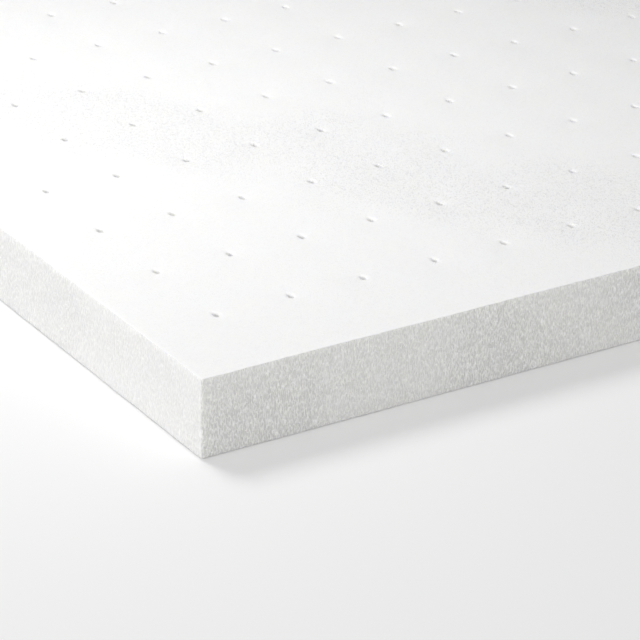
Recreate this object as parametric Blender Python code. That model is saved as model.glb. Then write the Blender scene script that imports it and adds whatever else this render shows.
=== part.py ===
"""Ventilated foam mattress topper: one sliced slab, punched through with a grid of vent holes.

The slab lies flat. The origin is the centre of its underside, with +Z up, +Y along the bed and
+X across it. Every size is in metres.
"""

import math

import bmesh
import bpy

INCH = 0.0254

# The slab, cut to a single bed of 39 by 75 inches.
WIDTH = 39 * INCH
LENGTH = 75 * INCH
THICKNESS = 3 * INCH
EDGE_RADIUS = 0.0015
EDGE_STEPS = 2

# The vent holes, at the inner crossings of a grid that divides the slab into equal cells:
# a cell is 3 inches across the bed, and an eighteenth of the slab's length along it.
CELLS_ACROSS = 13
CELLS_ALONG = 18
VENT_SIDES = 12
# The foam closes up a little across the bed after the punch, so each hole is an oval.
VENT_WIDTH = 0.0054
VENT_LENGTH = 0.0075
PUNCH_OVERRUN = 0.010

FOAM_WHITE = (0.90, 0.90, 0.885, 1.0)
FOAM_ROUGHNESS = 0.92
CREASE_ANGLE = math.radians(50)


def clear_scene():
    for thing in list(bpy.data.objects):
        bpy.data.objects.remove(thing, do_unlink=True)


def foam_material():
    material = bpy.data.materials.new("foam")
    material.use_nodes = True
    shader = material.node_tree.nodes["Principled BSDF"]
    shader.inputs["Base Color"].default_value = FOAM_WHITE
    shader.inputs["Roughness"].default_value = FOAM_ROUGHNESS
    shader.inputs["Metallic"].default_value = 0.0
    return material


def add_object(name, shape):
    """Writes a bmesh to a new mesh object at the origin, and frees it."""
    mesh = bpy.data.meshes.new(name)
    shape.to_mesh(mesh)
    shape.free()
    thing = bpy.data.objects.new(name, mesh)
    bpy.context.scene.collection.objects.link(thing)
    return thing


def stands_on_end(edge):
    """True for the slab's four upright corners."""
    start, end = (vertex.co for vertex in edge.verts)
    return abs(end.z - start.z) > THICKNESS / 2


def is_rim(edge):
    """True where a cut side meets the top or the underside."""
    tilts = [abs(face.normal.z) for face in edge.link_faces]
    return max(tilts) > 0.9 and min(tilts) < 0.1


def round_off(shape, edges):
    bmesh.ops.bevel(
        shape, geom=edges, offset=EDGE_RADIUS, segments=EDGE_STEPS, profile=0.5, affect="EDGES"
    )
    shape.normal_update()


def sliced_block():
    """The slab before it is punched, with its corners and its cut edges slightly rounded."""
    block = bmesh.new()
    bmesh.ops.create_cube(block, size=1.0)
    bmesh.ops.scale(block, vec=(WIDTH, LENGTH, THICKNESS), verts=block.verts)
    bmesh.ops.translate(block, vec=(0.0, 0.0, THICKNESS / 2), verts=block.verts)
    round_off(block, [edge for edge in block.edges if stands_on_end(edge)])
    round_off(block, [edge for edge in block.edges if is_rim(edge)])
    return block


def crossings(whole, cells):
    """Places along one side, measured from its middle, of the inner lines of the grid."""
    return [whole * (line / cells - 0.5) for line in range(1, cells)]


def punch_pins():
    """One closed oval pin for each vent hole, longer than the slab is thick."""
    pin_size = (VENT_WIDTH, VENT_LENGTH, THICKNESS + 2 * PUNCH_OVERRUN)
    pins = bmesh.new()
    for y in crossings(LENGTH, CELLS_ALONG):
        for x in crossings(WIDTH, CELLS_ACROSS):
            pin = bmesh.ops.create_cone(
                pins, cap_ends=True, segments=VENT_SIDES, radius1=0.5, radius2=0.5, depth=1.0
            )
            bmesh.ops.scale(pins, vec=pin_size, verts=pin["verts"])
            bmesh.ops.translate(pins, vec=(x, y, THICKNESS / 2), verts=pin["verts"])
    return pins


def vent_punch():
    punch = add_object("vent_punch", punch_pins())
    punch.hide_render = True
    punch.display_type = "WIRE"
    return punch


def foam_slab():
    slab = add_object("foam_slab", sliced_block())
    slab.data.materials.append(foam_material())
    slab.data.shade_smooth()
    slab.data.set_sharp_from_angle(angle=CREASE_ANGLE)
    vents = slab.modifiers.new("vents", "BOOLEAN")
    vents.operation = "DIFFERENCE"
    vents.solver = "EXACT"
    vents.object = vent_punch()


clear_scene()
foam_slab()
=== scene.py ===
# %% [markdown]
# # A ventilated foam mattress topper
#
# The real thing is one slab of open-cell foam, three inches thick. A slicing machine takes the
# slab off a long block, a blade trims it to the size of a single bed, and a bed of pins punches
# the vent holes. Nothing is sewn or glued on. So there is one piece to build here, and its looks
# are in four places: the finely pored sliced top, the coarser cut sides, the slightly ragged cut
# edges, and the soft mouths of the vent holes.
#
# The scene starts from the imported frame, which fixes the size and the place of the slab.

import math

import bmesh
import bpy
from mathutils import Matrix, Vector


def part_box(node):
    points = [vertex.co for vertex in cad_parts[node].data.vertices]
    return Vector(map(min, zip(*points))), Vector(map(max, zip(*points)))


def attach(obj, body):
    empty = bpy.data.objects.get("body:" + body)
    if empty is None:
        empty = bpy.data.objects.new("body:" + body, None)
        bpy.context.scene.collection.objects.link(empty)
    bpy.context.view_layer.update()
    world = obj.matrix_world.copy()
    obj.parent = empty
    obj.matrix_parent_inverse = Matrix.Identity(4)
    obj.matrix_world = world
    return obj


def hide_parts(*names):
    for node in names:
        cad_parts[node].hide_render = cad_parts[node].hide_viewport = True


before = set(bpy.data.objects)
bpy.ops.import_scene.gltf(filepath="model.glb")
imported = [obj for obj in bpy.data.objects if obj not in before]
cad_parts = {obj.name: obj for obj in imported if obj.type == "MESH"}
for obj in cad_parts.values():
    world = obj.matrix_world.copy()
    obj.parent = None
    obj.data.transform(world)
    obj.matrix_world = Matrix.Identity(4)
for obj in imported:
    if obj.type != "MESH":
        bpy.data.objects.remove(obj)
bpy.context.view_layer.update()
low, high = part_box("foam_slab")
WIDTH, LENGTH, THICKNESS = high - low
MIDDLE = THICKNESS / 2
MM = 0.001

print("slab in millimetres:", [round(side / MM, 1) for side in (WIDTH, LENGTH, THICKNESS)])

# %% [markdown]
# ## Small helpers for edit mode
#
# Every operator in edit mode acts on what is selected, so the steps below always follow one
# pattern: select edges by their place, extrude them, then resize or move what was extruded.
# A face of the slab is measured by its inset, which is how far a point lies inside the outline.

# %% Helpers for selecting and extruding
# Two places nearer to each other than this are the same place.
SAME_PLACE = 0.02 * MM


def only(piece):
    """Leaves one object selected and active."""
    bpy.ops.object.select_all(action="DESELECT")
    piece.select_set(True)
    bpy.context.view_layer.objects.active = piece


def near(value, target):
    return abs(value - target) < SAME_PLACE


def inset(point):
    """How far a point lies inside the slab's outline, seen from above."""
    return min(WIDTH / 2 - abs(point.x), LENGTH / 2 - abs(point.y))


def select_edges(wanted):
    """Selects the edges that a test accepts, and nothing else, and returns how many."""
    bpy.ops.mesh.select_mode(type="EDGE")
    bpy.ops.mesh.select_all(action="DESELECT")
    mesh = bpy.context.edit_object.data
    shape = bmesh.from_edit_mesh(mesh)
    found = [edge for edge in shape.edges if wanted(edge)]
    for edge in found:
        edge.select = True
    shape.select_flush_mode()
    bmesh.update_edit_mesh(mesh)
    return len(found)


def extrude(scale=(1.0, 1.0), rise=0.0):
    """Extrudes the selected loop, then resizes it about the slab's middle axis and lifts it."""
    bpy.ops.mesh.extrude_region_move(TRANSFORM_OT_translate={"value": (0.0, 0.0, rise)})
    if scale != (1.0, 1.0):
        bpy.ops.transform.resize(value=(*scale, 1.0), center_override=(0.0, 0.0, 0.0))


# %% [markdown]
# ## One vent hole and its share of the two faces
#
# The holes sit at the crossings of a grid that cuts the slab into 13 by 18 equal cells. What
# repeats is modelled once: a cell with a hole in its middle. A pin leaves a mouth that is wider
# than the hole and softly rounded, because the foam gives way before it is cut.
#
# The hole starts as a ring halfway up. It is extruded to the face along a short profile, which
# lists the width of the hole at each depth. The last ring lies flat on the face and is bridged
# to the outline of the cell, which is cut into as many points as the ring has. The underside
# has a plainer mouth, because the pins come out there and nobody sees it.

# %% Sizes of a cell and of a vent hole
CELLS_ACROSS = 13
CELLS_ALONG = 18
CELL = Vector((WIDTH / CELLS_ACROSS, LENGTH / CELLS_ALONG))

RING_SIDES = 12
VENT_WIDTH = 5.4 * MM
VENT_LENGTH = 8.6 * MM

# Width of the hole, as a share of its width deep down, and depth in millimetres.
SOFT_MOUTH = [(1.0, 6.0), (1.0, 1.6), (1.12, 0.7), (1.4, 0.2), (2.2, 0.0)]
PLAIN_MOUTH = [(1.0, 2.0), (1.4, 0.0)]

print("cell in millimetres:", [round(side / MM, 2) for side in CELL])


# %% Model one half of the cell, from its middle to one face
OUTLINE_LIFT = 10 * MM


def half_cell(face, mouth):
    """Extrudes the ring at half height to the top (face +1) or the underside (face -1)."""
    select_edges(lambda edge: all(near(vertex.co.z, MIDDLE) for vertex in edge.verts))
    width, depth = 1.0, MIDDLE
    for next_width, next_depth in mouth:
        next_depth *= MM
        extrude((next_width / width, next_width / width), face * (depth - next_depth))
        width, depth = next_width, next_depth

    # A bridge between two loops in one plane can't tell which way round they run, so the
    # outline of the cell is drawn a little beyond the face and pressed down afterwards.
    lifted = MIDDLE + face * (MIDDLE + OUTLINE_LIFT)
    bpy.ops.mesh.select_all(action="DESELECT")
    bpy.ops.mesh.primitive_plane_add(size=1.0, location=(0.0, 0.0, lifted))
    bpy.ops.transform.resize(value=(CELL.x, CELL.y, 1.0), center_override=(0.0, 0.0, lifted))
    bpy.ops.mesh.delete(type="ONLY_FACE")
    select_edges(lambda edge: edge.is_wire)
    bpy.ops.mesh.subdivide(number_cuts=RING_SIDES // 4 - 1)
    select_edges(
        lambda edge: not edge.is_manifold
        and all(face * (vertex.co.z - MIDDLE) > MIDDLE - OUTLINE_LIFT for vertex in edge.verts)
    )
    bpy.ops.mesh.bridge_edge_loops()
    select_edges(lambda edge: all(near(vertex.co.z, lifted) for vertex in edge.verts))
    bpy.ops.transform.translate(value=(0.0, 0.0, -face * OUTLINE_LIFT))


bpy.ops.object.select_all(action="DESELECT")
bpy.ops.mesh.primitive_circle_add(
    vertices=RING_SIDES, radius=VENT_WIDTH / 2, location=(0.0, 0.0, MIDDLE)
)
topper = bpy.context.object
topper.name = topper.data.name = "foam_topper"
topper.scale.y = VENT_LENGTH / VENT_WIDTH
only(topper)
bpy.ops.object.transform_apply(location=True, rotation=True, scale=True)

bpy.ops.object.mode_set(mode="EDIT")
half_cell(+1, SOFT_MOUTH)
half_cell(-1, PLAIN_MOUTH)
bpy.ops.mesh.select_all(action="SELECT")
bpy.ops.transform.translate(
    value=(-CELL.x * (CELLS_ACROSS / 2 - 1), -CELL.y * (CELLS_ALONG / 2 - 1), 0.0)
)
bpy.ops.object.mode_set(mode="OBJECT")
print("one cell:", len(topper.data.polygons), "faces")

# %% [markdown]
# ## Repeat the cell
#
# Two Array modifiers repeat the cell across the slab and along it. Cells that touch share their
# edges, so the arrays merge doubles, at a distance far below the size of any face. A grid of
# 13 by 18 cells has 12 by 17 inner crossings, so that is how many holes there are.


# %% Array the cell across and along
def finish_modifier(piece, modifier):
    only(piece)
    bpy.ops.object.modifier_apply(modifier=modifier.name)


def repeat(piece, name, count, step):
    rows = piece.modifiers.new(name, "ARRAY")
    rows.count = count
    rows.use_relative_offset = False
    rows.use_constant_offset = True
    rows.constant_offset_displace = step
    rows.use_merge_vertices = True
    rows.merge_threshold = SAME_PLACE
    finish_modifier(piece, rows)


repeat(topper, "across", CELLS_ACROSS - 1, (CELL.x, 0.0, 0.0))
repeat(topper, "along", CELLS_ALONG - 1, (0.0, CELL.y, 0.0))
print("holes:", (CELLS_ACROSS - 1) * (CELLS_ALONG - 1))

# %% [markdown]
# ## The border and the cut sides
#
# The arrayed cells stop half a cell short of the outline. From there the outer loop of each face
# is extruded outwards in a few steps. A blade leaves an edge that wavers over a few millimetres,
# so the edge needs columns about 2 mm wide, and the face inside it doesn't. The loop is cut
# finer in two of the steps, which leaves fans of triangles on the flat face, where they can't be
# seen. The top's loop then goes over the rounded edge, down the side and under, and ends exactly
# on the underside's own loop. Merging doubles closes the slab.

# %% Extrude both faces to a fine loop just inside the edge
EDGE_RADIUS = 1.5 * MM
# Millimetres that each loop of the border lies inside the outline, and the number of parts that
# each edge of it is cut into.
BORDER = [(20.0, 3), (9.0, 5)]
FINE_INSET = BORDER[-1][0] * MM


def is_loop_at(height, distance):
    """A test for the open loop of one face, at one inset from the outline."""

    def test(edge):
        return edge.is_boundary and all(
            near(vertex.co.z, height) and near(inset(vertex.co), distance)
            for vertex in edge.verts
        )

    return test


def outward(start, end):
    """The scale that takes a loop at one inset to another."""
    return (WIDTH - 2 * end) / (WIDTH - 2 * start), (LENGTH - 2 * end) / (LENGTH - 2 * start)


# The arrayed cells stop at an inset of half a cell, which differs across and along.
first_inset = BORDER[0][0] * MM
first_scale = (
    (WIDTH - 2 * first_inset) / (WIDTH - CELL.x),
    (LENGTH - 2 * first_inset) / (LENGTH - CELL.y),
)

bpy.ops.object.mode_set(mode="EDIT")
for height in (THICKNESS, 0.0):
    select_edges(
        lambda edge: edge.is_boundary and all(near(vertex.co.z, height) for vertex in edge.verts)
    )
    extrude(first_scale)
    for row, (distance, cuts) in enumerate(BORDER):
        distance *= MM
        if row:
            extrude(outward(BORDER[row - 1][0] * MM, distance))
        select_edges(is_loop_at(height, distance))
        bpy.ops.mesh.subdivide(number_cuts=cuts - 1, ngon=False)
    print("columns round the edge:", select_edges(is_loop_at(height, FINE_INSET)))

# %% Take the top's loop over the edge, down the side and under
SIDE_ROWS = 9
ROUND_STEPS = 3
# The lower edge is rounder, because the slab's own weight rolls it under a little.
UNDER_RADIUS = 2.5 * MM
# Two more loops on the flat face, so that the unevenness of the edge dies out within them.
FACE_LOOPS = [4.5 * MM, 2.5 * MM]


def quarter_turn(radius):
    """Inset and drop of the points on a rounded edge, from the face to the side."""
    angles = [math.pi / 2 * step / ROUND_STEPS for step in range(ROUND_STEPS + 1)]
    return [(radius * (1 - math.sin(angle)), radius * (1 - math.cos(angle))) for angle in angles]


top_round = quarter_turn(EDGE_RADIUS)
side_height = THICKNESS - EDGE_RADIUS - UNDER_RADIUS
side = [(0.0, EDGE_RADIUS + side_height * row / SIDE_ROWS) for row in range(1, SIDE_ROWS)]
under_round = [(across, THICKNESS - drop) for across, drop in reversed(quarter_turn(UNDER_RADIUS))]
path = (
    [(across, 0.0) for across in FACE_LOOPS]
    + top_round
    + side
    + under_round
    + [(across, THICKNESS) for across in (FACE_LOOPS[0], FINE_INSET)]
)

select_edges(is_loop_at(THICKNESS, FINE_INSET))
across, drop = FINE_INSET, 0.0
for next_across, next_drop in path:
    extrude(outward(across, next_across), drop - next_drop)
    across, drop = next_across, next_drop
bpy.ops.mesh.select_all(action="SELECT")
bpy.ops.mesh.remove_doubles(threshold=SAME_PLACE / 2)
print("open edges left:", select_edges(lambda edge: not edge.is_manifold))

# %% [markdown]
# ## Round the four upright corners
#
# The loops still turn each corner of the bed sharply. A bevel along the mitre line, from just
# inside the top edge down to the underside, rounds the corner like the other cut edges. Facing
# everything outwards comes after it, when the slab is one closed body.

# %% Bevel the corners
CORNER_INSET = 3 * MM
CORNER_STEPS = 2


def on_mitre(edge):
    """True for the edges that run from loop to loop on a corner's line."""
    start, end = (vertex.co for vertex in edge.verts)
    on_line = all(
        near(WIDTH / 2 - abs(point.x), LENGTH / 2 - abs(point.y)) and inset(point) < CORNER_INSET
        for point in (start, end)
    )
    in_one_loop = near(start.z, end.z) and near(inset(start), inset(end))
    return on_line and not in_one_loop


print("corner edges:", select_edges(on_mitre))
bpy.ops.mesh.bevel(offset=EDGE_RADIUS, segments=CORNER_STEPS, affect="EDGES")
bpy.ops.mesh.select_all(action="SELECT")
bpy.ops.mesh.normals_make_consistent(inside=False)
bpy.ops.object.mode_set(mode="OBJECT")
triangles = sum(len(face.vertices) - 2 for face in topper.data.polygons)
print("slab:", len(topper.data.polygons), "faces, or", triangles, "triangles")


# %% [markdown]
# ## Take the machine-made evenness out
#
# Foam is soft while it is cut, so nothing on the real slab is quite straight. The cut sides
# waver by less than a millimetre, the cut edges are nicked where a cell tore, no two vent mouths
# are alike, and the top rises and falls a little. All of this is a shape and not a colour, so it
# goes into the mesh: a Displace modifier moves a group of points along one axis by a soft noise,
# and is applied.
#
# The groups are weighted by place, so that each unevenness fades out where it should. The
# underside isn't moved up or down: it stays flat, because the slab rests on it.


# %% Weigh the points by where they are
def fade(value, full, none):
    """1 at one value, 0 at the other, and a straight fade between them."""
    return min(1.0, max(0.0, (value - none) / (full - none)))


def from_grid_line(place, cell, count):
    """How far a place lies past the nearest line of a grid of so many cells, on one axis."""
    # With an odd count, the middle of the slab is the middle of a cell and not a line.
    shift = 0.5 * (count % 2)
    return (place / cell - round(place / cell - shift) - shift) * cell


def from_vent(point):
    """Distance from the nearest vent's axis, as a share of the hole's half width there."""
    across = from_grid_line(point.x, CELL.x, CELLS_ACROSS)
    along = from_grid_line(point.y, CELL.y, CELLS_ALONG)
    return math.hypot(across / VENT_WIDTH, along / VENT_LENGTH) * 2


def cut_side_weight(point):
    """Full on the cut sides and just inside them, and none from 9 mm inside."""
    return fade(inset(point), 3 * MM, 9 * MM)


def edge_weight(point):
    """Full on the rounded edges round the top, and half as much round the underside."""
    from_top = THICKNESS - point.z
    across = fade(inset(point), 2 * MM, 4 * MM)
    return across * max(fade(from_top, 2 * MM, 8 * MM), 0.5 * fade(point.z, 2 * MM, 8 * MM))


def top_edge_weight(point):
    """The same round the top, and none round the underside, which has to stay flat."""
    return edge_weight(point) if point.z > MIDDLE else 0.0


def top_weight(point):
    """Full on the top and just under it, and none from 6 mm down."""
    return fade(THICKNESS - point.z, 2 * MM, 6 * MM)


def mouth_weight(point):
    """Full on the wall of a vent hole near the top, and none out on the flat face."""
    if inset(point) <= FINE_INSET:
        return 0.0
    return top_weight(point) * fade(from_vent(point), 1.5, 3.0)


def weigh(piece, name, weight_at):
    group = piece.vertex_groups.new(name=name)
    weighed = 0
    for vertex in piece.data.vertices:
        weight = weight_at(vertex.co)
        if weight > 0:
            group.add([vertex.index], weight, "REPLACE")
            weighed += 1
    print(name, "has", weighed, "points")


weigh(topper, "cut_sides", cut_side_weight)
weigh(topper, "edges", edge_weight)
weigh(topper, "top_edge", top_edge_weight)
weigh(topper, "mouths", mouth_weight)
weigh(topper, "top", top_weight)


# %% Displace each group by its own noise
def unsettle(piece, group, axis, grain, reach, kind):
    """Moves a group along an axis by noise. The grain is the noise's size, in metres."""
    noise = bpy.data.textures.new(f"{group}_{axis}", "CLOUDS")
    noise.noise_basis = kind
    noise.noise_scale = grain
    noise.noise_depth = 1
    wobble = piece.modifiers.new(f"{group}_{axis}", "DISPLACE")
    wobble.texture = noise
    wobble.texture_coords = "LOCAL"
    wobble.direction = axis
    wobble.mid_level = 0.5
    wobble.strength = reach
    wobble.vertex_group = group
    finish_modifier(piece, wobble)


# Group, axis, size of the noise and reach of it in millimetres. Two axes of one group need two
# kinds of noise, or every point would move along the same slanted line.
SOFT, CREASED = "BLENDER_ORIGINAL", "IMPROVED_PERLIN"
UNEVENNESS = [
    ("cut_sides", "X", 38.0, 1.6, SOFT),
    ("cut_sides", "Y", 38.0, 1.6, CREASED),
    ("edges", "X", 4.0, 0.6, SOFT),
    ("edges", "Y", 4.0, 0.6, CREASED),
    ("top_edge", "Z", 4.5, 0.6, SOFT),
    ("mouths", "X", 4.5, 1.8, SOFT),
    ("mouths", "Y", 4.5, 1.8, CREASED),
    ("mouths", "Z", 5.5, 0.9, SOFT),
    ("top", "Z", 90.0, 0.8, SOFT),
]
for group, axis, grain, reach, kind in UNEVENNESS:
    unsettle(topper, group, axis, grain * MM, reach * MM, kind)
topper.data.shade_smooth()

corners = [corner.to_tuple(4) for corner in map(Vector, topper.bound_box)]
print("slab after", len(UNEVENNESS), "displacements:", corners[0], corners[6])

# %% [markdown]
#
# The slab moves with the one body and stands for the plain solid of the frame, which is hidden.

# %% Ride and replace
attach(topper, "root")
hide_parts("foam_slab")
print("declared:", topper.name)

# %% [markdown]
# ## Shader maths as plain expressions
#
# A node tree is easier to read as a formula. A Field wraps a socket that varies over the foam:
# adding or multiplying fields makes the Math nodes, and every other node comes from one method.


# %% Field, a socket with arithmetic
class Field:
    tree = None

    def __init__(self, socket):
        self.socket = socket

    @classmethod
    def node(cls, kind, settings=None, sockets=None, output=0):
        """Adds a node: its settings first, then the values or links of its sockets."""
        made = cls.tree.nodes.new(kind)
        for name, value in (settings or {}).items():
            setattr(made, name, value)
        for name, value in (sockets or {}).items():
            if isinstance(value, Field):
                cls.tree.links.new(value.socket, made.inputs[name])
            else:
                made.inputs[name].default_value = value
        return cls(made.outputs[output])

    @classmethod
    def math(cls, operation, *values):
        return cls.node("ShaderNodeMath", {"operation": operation}, dict(enumerate(values)))

    def __add__(self, other):
        return self.math("ADD", self, other)

    def __sub__(self, other):
        return self.math("SUBTRACT", self, other)

    def __rsub__(self, other):
        return self.math("SUBTRACT", other, self)

    def __mul__(self, other):
        return self.math("MULTIPLY", self, other)

    __radd__ = __add__
    __rmul__ = __mul__


# %% Helpers for the patterns
def vector(operation, *values, output="Vector"):
    """A Vector Math node."""
    return Field.node(
        "ShaderNodeVectorMath", {"operation": operation}, dict(enumerate(values)), output
    )


def part(direction, axis):
    """One component of a vector, without its sign."""
    component = Field.node("ShaderNodeSeparateXYZ", None, {0: direction}, axis)
    return Field.math("ABSOLUTE", component)


def ramp(value, start, end):
    """0 up to the start, 1 from the end, and a smooth step between them."""
    return Field.node(
        "ShaderNodeMapRange",
        {"interpolation_type": "SMOOTHSTEP"},
        {"Value": value, "From Min": start, "From Max": end},
    )


def clouds(place, size, detail, output="Fac"):
    """Soft noise. The size of its blotches is in metres."""
    return Field.node(
        "ShaderNodeTexNoise",
        None,
        {"Vector": place, "Scale": 1 / size, "Detail": detail},
        output,
    )


def cells(place, size, feature):
    """Cells of a size in metres: the distance to a cell's wall or to its middle."""
    return Field.node(
        "ShaderNodeTexVoronoi", {"feature": feature}, {"Vector": place, "Scale": 1 / size}
    )


def blend(factor, first, second):
    """Mixes two colours. The node has sockets for numbers too, so its colours are 6, 7 and 2."""
    return Field.node("ShaderNodeMix", {"data_type": "RGBA"}, {0: factor, 6: first, 7: second}, 2)


# %% [markdown]
# ## Open-cell foam
#
# Under a lens, foam is a web of thin struts round small cells. A blade cuts the sides across the
# web. The cells there are taller than they are wide, because the foam rose while it set, and the
# struts show as short, pale, upright streaks between darker pits. The top was sliced across the
# rise, so its cells are round and small, and it looks almost smooth.
#
# The patterns are laid out on the object's own coordinates, so they are as large as real cells
# and don't stretch. For the sides the height is squeezed first, which draws the cells out
# upright, and a slow noise bends the place a little, so the streaks don't stand in step.
#
# The first cell works out where on the slab a point is. The normal tells a side from the top.
# The walls of the vent holes are smooth like the top, so all that lies further in than the rim
# counts as a face.

# %% Where on the foam
foam = bpy.data.materials.new("foam_finish")
foam.use_nodes = True
Field.tree = foam.node_tree

place = Field.node("ShaderNodeTexCoord", output="Object")
normal = Field.node("ShaderNodeTexCoord", output="Normal")


def facing(axis):
    """1 where the surface faces along an axis, and 0 where it faces across it."""
    return ramp(part(normal, axis), 0.55, 0.9)


def at_rim(axis, size):
    """1 within 3 mm of the slab's two sides on an axis, and 0 further in than 4 mm."""
    return ramp(part(place, axis), size / 2 - 4 * MM, size / 2 - 3 * MM)


rim = Field.math("MAXIMUM", at_rim("X", WIDTH), at_rim("Y", LENGTH))
face = Field.math("MAXIMUM", facing("Z"), 1 - rim)
long_side = facing("X")
print("nodes that tell where a point is:", len(foam.node_tree.nodes))

# %% [markdown]
# ## The cut sides
#
# Four patterns are mixed. A cell pattern gives the web of struts, a noise breaks its walls, for a
# blade doesn't leave every strut whole, and a finer noise adds soft upright streaks. The last
# one is very slow: it makes the grain strong in one place and weak in the next. It acts on the
# difference from the middle tone only, so the side keeps one even tone.

# %% Upright struts and pits
# The slow noise moves a place by up to LEAN, and its blotches are as large as BEND.
LEAN = 0.8 * MM
BEND = 5 * MM
UPRIGHT_SQUEEZE = 0.3
STRUT_SPACING = 1.6 * MM
STREAK_WIDTH = 1.2 * MM
PATCH = 150 * MM
PIT_TONE = 0.6

slow = clouds(place, BEND, 1.0, "Color")
lean = vector("MULTIPLY", vector("SUBTRACT", slow, (0.5, 0.5, 0.5)), (2 * LEAN,) * 3)
upright = vector("MULTIPLY", vector("ADD", place, lean), (1.0, 1.0, UPRIGHT_SQUEEZE))

strut = 1 - ramp(cells(upright, STRUT_SPACING, "DISTANCE_TO_EDGE"), 0.04, 0.2)
whole = 0.2 + 0.8 * ramp(clouds(upright, STRUT_SPACING, 0.0), 0.35, 0.6)
streak = ramp(clouds(upright, STREAK_WIDTH, 0.0), 0.25, 0.75)
strength = 1 - 0.35 * ramp(clouds(place, PATCH, 1.0), 0.4, 0.6)
# In the colour, side_pit is painted shade: a darker pit stands for the shadow inside a cell. In
# the bump it is the pit's depth.
side_pit = PIT_TONE + (0.5 * streak - 0.48 * strut * whole) * strength
strut_height = STRUT_SPACING / UPRIGHT_SQUEEZE
print("struts in millimetres:", round(STRUT_SPACING / MM, 1), "by", round(strut_height / MM, 1))

# %% [markdown]
# ## The sliced top
#
# The pores of the top are the middles of small round cells, and they come in clusters. They are
# sunk a little, and painted darker, as painted shade for the shadow inside them. Both are stronger
# in soft, wide strips that run aslant over the slab, and in some places of such a strip more than
# in others.

# %% Small round pores in clusters and strips
PORE = 1.5 * MM
CLUSTER = 3.6 * MM
STRIP_BLOTCH = 120 * MM
STRIP_PITCH = 0.6
STRIP_OFFSET = 0.45
# The direction in which one strip follows the next, of length 1.
ACROSS_STRIPS = (0.835, 0.55, 0.0)

pore = 1 - ramp(cells(place, PORE, "F1"), 0.1, 0.6)
cluster = 0.3 + 0.7 * ramp(clouds(place, CLUSTER, 1.0), 0.42, 0.6)
across_strips = vector("DOT_PRODUCT", place, ACROSS_STRIPS, output="Value")
strip = Field.math("COSINE", (across_strips + STRIP_OFFSET) * (math.tau / STRIP_PITCH))
uneven = clouds(place, STRIP_BLOTCH, 1.0) - 0.5
pore_strength = 0.3 + 0.7 * ramp(strip + uneven * 1.5, 0.3, 1.0)
# In the colour, top_pit is painted shade for the shadow in a pore. In the bump it is the pore's
# depth.
top_pit = pore * cluster * pore_strength
print("pores of", round(PORE / MM, 1), "mm in strips", STRIP_PITCH, "m apart")

# %% [markdown]
# ## Colour, relief and sheen
#
# White foam is nearly one colour, so the pits do the work: they are painted darker than the
# struts, as painted shade for the shadow that falls into them, and they are sunk, with a bump of
# under a millimetre. The long sides are lit more than the short ones, so their pits get a lighter
# painted shade, and their paleness is painted light. A soft, barely seen drift between a warm and
# a cool white keeps the slab from looking like plastic. Foam has no gloss, and light goes a few
# millimetres into it, which is what the subsurface values are for.

# %% Colour
SIDE_WHITE = (1.0, 1.0, 0.985, 1.0)
# Painted shade in the pits of the short sides: the foam itself is white there too.
PAINTED_PIT_SHADE = (0.65, 0.65, 0.638, 1.0)
# A lighter painted shade for the pits of the long sides, which are lit more: their paleness is
# painted light.
LIT_SIDE_PAINTED_PIT_SHADE = (0.76, 0.76, 0.756, 1.0)
TOP_WHITE = (0.91, 0.91, 0.91, 1.0)
# Painted shade in the pores of the top.
TOP_PAINTED_PIT_SHADE = (0.72, 0.72, 0.72, 1.0)
WARM = (1.0, 0.998, 0.993, 1.0)
COOL = (0.997, 0.998, 1.0, 1.0)
DRIFT = 30 * MM

# The pits of each face get painted shade, lighter on the lit long sides.
side_colour = blend(side_pit, SIDE_WHITE, blend(long_side, PAINTED_PIT_SHADE, LIT_SIDE_PAINTED_PIT_SHADE))
top_colour = blend(top_pit, TOP_WHITE, TOP_PAINTED_PIT_SHADE)
drift = blend(ramp(clouds(place, DRIFT, 2.0), 0.35, 0.65), WARM, COOL)
foam_colour = vector("MULTIPLY", blend(face, side_colour, top_colour), drift)

# %% Relief and sheen
RELIEF = 0.9 * MM
top_height = 1 - 0.35 * top_pit
cut_height = 1 - side_pit * (1 - 0.3 * long_side)
height = face * top_height + (1 - face) * cut_height
relief = Field.node("ShaderNodeBump", None, {"Height": height, "Distance": RELIEF}, "Normal")
roughness = 0.9 + 0.08 * side_pit

shader = foam.node_tree.nodes["Principled BSDF"]
for name, field in (("Base Color", foam_colour), ("Roughness", roughness), ("Normal", relief)):
    foam.node_tree.links.new(field.socket, shader.inputs[name])
shader.inputs["Specular IOR Level"].default_value = 0.2
shader.inputs["Subsurface Weight"].default_value = 0.5
shader.inputs["Subsurface Radius"].default_value = (1.0, 1.0, 0.9)
shader.inputs["Subsurface Scale"].default_value = 6 * MM
topper.data.materials.append(foam)
print("nodes in the foam finish:", len(foam.node_tree.nodes))

# %% [markdown]
# ## The camera
#
# The lens is long and far away, so that the slab's parallel edges stay nearly parallel. The
# camera stands to the left of the near short side and looks down a little, and the near corner of
# the slab is left of the middle of the picture.

# %% Camera
# The focal length is in millimetres, and the distances are in metres.
FOCAL_LENGTH = 196.9
CAMERA_TURN = math.radians(-32.05)
CAMERA_RISE = math.radians(25.17)
CAMERA_ROLL = math.radians(0.62)
CAMERA_DISTANCE = 3.048
AIM_FROM_CORNER = Vector((0.1482, 0.0493, 0.0))

scene = bpy.context.scene
near_corner = Vector((-WIDTH / 2, -LENGTH / 2, THICKNESS))
aim = near_corner + AIM_FROM_CORNER
back = Vector((
    math.sin(CAMERA_TURN) * math.cos(CAMERA_RISE),
    -math.cos(CAMERA_TURN) * math.cos(CAMERA_RISE),
    math.sin(CAMERA_RISE),
))

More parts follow.
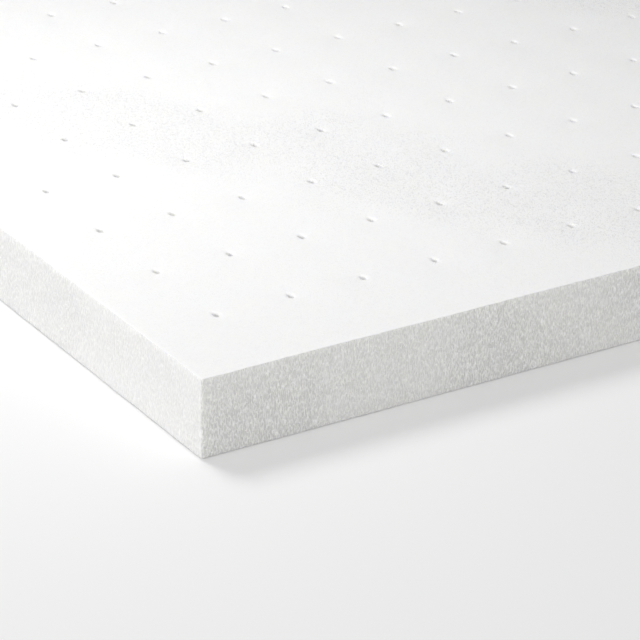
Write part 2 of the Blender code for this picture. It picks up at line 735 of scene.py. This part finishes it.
camera = bpy.data.objects.new("camera", bpy.data.cameras.new("camera"))
scene.collection.objects.link(camera)
scene.camera = camera
camera.data.lens = FOCAL_LENGTH
camera.data.clip_end = 100
camera.matrix_world = (
    Matrix.Translation(aim + back * CAMERA_DISTANCE)
    @ back.to_track_quat("Z", "Y").to_matrix().to_4x4()
    @ Matrix.Rotation(CAMERA_ROLL, 4, "Z")
)
print("camera in metres:", [round(value, 2) for value in camera.matrix_world.translation])

# %% [markdown]
# ## Soft studio light
#
# White foam shows its shape only where the light is uneven, and it burns out soon. So the studio's
# own white walls give about half of the light, and three softboxes add the rest. One hangs over
# the left long side: the top grows darker away from it, to the far right, and it lights one wall
# of each vent mouth. One stands off to the left and lights the long side almost as much as the
# top. One in front keeps the short side from going grey. These two are large and far away, so
# that the floor round the slab is lit softly too.

# %% Lights
def softbox(name, place, target, size, power):
    lamp = bpy.data.objects.new(name, bpy.data.lights.new(name, "AREA"))
    scene.collection.objects.link(lamp)
    lamp.data.shape = "DISK"
    lamp.data.size = size
    lamp.data.energy = power
    lamp.location = place
    lamp.rotation_mode = "QUATERNION"
    lamp.rotation_quaternion = (Vector(place) - target).to_track_quat("Z", "Y")
    # From some sides a softbox stands between the camera and the slab, so it is hidden from view.
    lamp.visible_camera = False
    print(name, "is", round((Vector(place) - target).length, 2), "m away")


lit_part = near_corner + Vector((0.3, 0.3, 0.0))
softbox("top_softbox", (-0.6, -0.2, 1.1), lit_part, size=0.5, power=6.4)
softbox("side_softbox", (-4.2, -1.8, 1.75), lit_part, size=1.5, power=57.0)
softbox("end_softbox", (-0.5, -4.2, 1.6), lit_part, size=1.2, power=21.6)

WALL_LIGHT = 0.512
scene.view_settings.view_transform = "Standard"
world = bpy.data.worlds.new("studio")
scene.world = world
world.use_nodes = True
walls = world.node_tree.nodes["Background"]
walls.inputs["Color"].default_value = (1.0, 1.0, 1.0, 1.0)
walls.inputs["Strength"].default_value = WALL_LIGHT

# %% [markdown]
# ## The floor
#
# A plain pale floor, so large that its far edge is never seen. It lies a fifth of a millimetre
# under the slab, because two surfaces at one height would flicker.

# %% Floor
FLOOR_SIZE = 60.0
FLOOR_GAP = 0.2 * MM

bpy.ops.object.select_all(action="DESELECT")
bpy.ops.mesh.primitive_plane_add(size=FLOOR_SIZE, location=(0.0, 0.0, -FLOOR_GAP))
floor = bpy.context.object
floor.name = "floor"

paint = bpy.data.materials.new("floor_paint")
paint.use_nodes = True
paint_shader = paint.node_tree.nodes["Principled BSDF"]
paint_shader.inputs["Base Color"].default_value = (0.9, 0.9, 0.9, 1.0)
paint_shader.inputs["Roughness"].default_value = 0.9
floor.data.materials.append(paint)
print("floor:", FLOOR_SIZE, "m wide")
